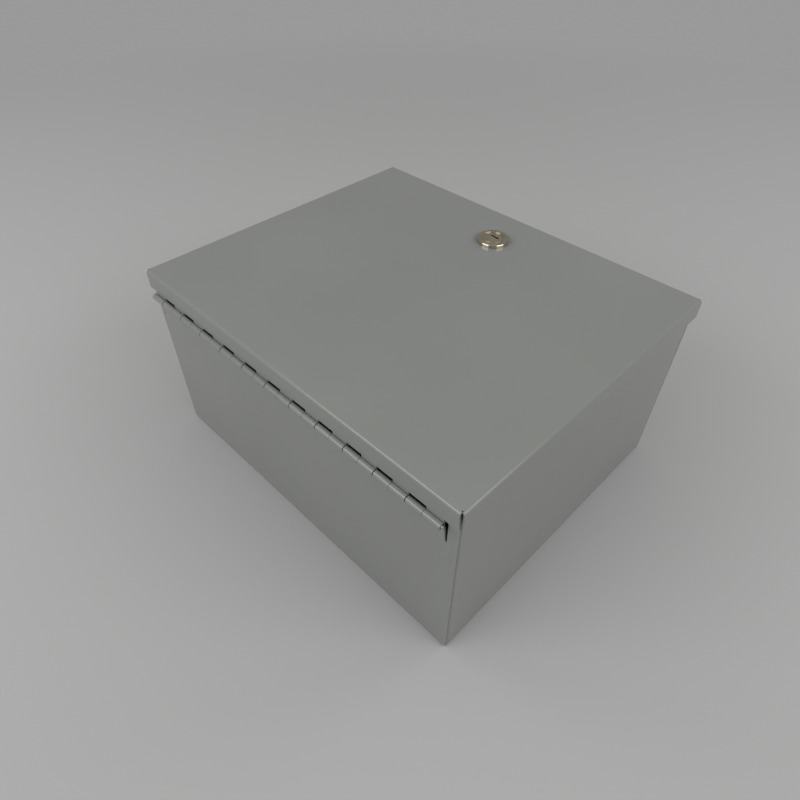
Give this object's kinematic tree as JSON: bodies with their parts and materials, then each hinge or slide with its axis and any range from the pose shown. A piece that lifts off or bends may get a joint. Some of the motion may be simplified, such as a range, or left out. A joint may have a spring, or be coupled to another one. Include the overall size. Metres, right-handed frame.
{
  "type": "hinged-cover electrical enclosure",
  "caption": "Folded sheet-steel wall box with a hinged lid, a cam lock and a removable panel inside, for electrical equipment.",
  "frame": {"origin": "centre of the back's outer face", "axes": "+X along the hinge, +Y from the hinge side to the lock side, +Z out of the back, through the lid"},
  "size_m": [0.3102, 0.2622, 0.1572],
  "materials": {
    "grey_paint": "satin powder coat",
    "white_paint": "satin powder coat",
    "zinc_steel": "zinc plated",
    "nickel": "satin nickel plated",
    "brass": "plain"
  },
  "bodies": {
    "enclosure": {"body_shell": "grey_paint", "hinge_pin": "zinc_steel", "strike_bracket": "grey_paint", "panel_studs": "zinc_steel", "panel_spacers": "zinc_steel", "back_panel": "white_paint", "panel_washers": "zinc_steel", "panel_nuts": "zinc_steel", "earth_stud": "brass", "earth_washer": "brass", "earth_nut": "brass"},
    "lid": {"lid_pan": "grey_paint", "lock_housing": "nickel", "lock_washer": "zinc_steel", "lock_nut": "zinc_steel"},
    "lock": {"lock_plug": "nickel", "stop_washer": "zinc_steel", "cam_arm": "zinc_steel", "cam_washer": "zinc_steel", "cam_screw": "zinc_steel"}
  },
  "joints": [
    {"name": "lid_hinge", "type": "hinge", "parent": "enclosure", "child": "lid", "pos_m": [0, -0.13055, 0.1354], "axis": [1, 0, 0], "range_deg": [0, 190]},
    {"name": "lock_turn", "type": "hinge", "parent": "lid", "child": "lock", "pos_m": [0, 0.0872, 0.1542], "axis": [0, 0, 1], "range_deg": [0, 90]}
  ]
}
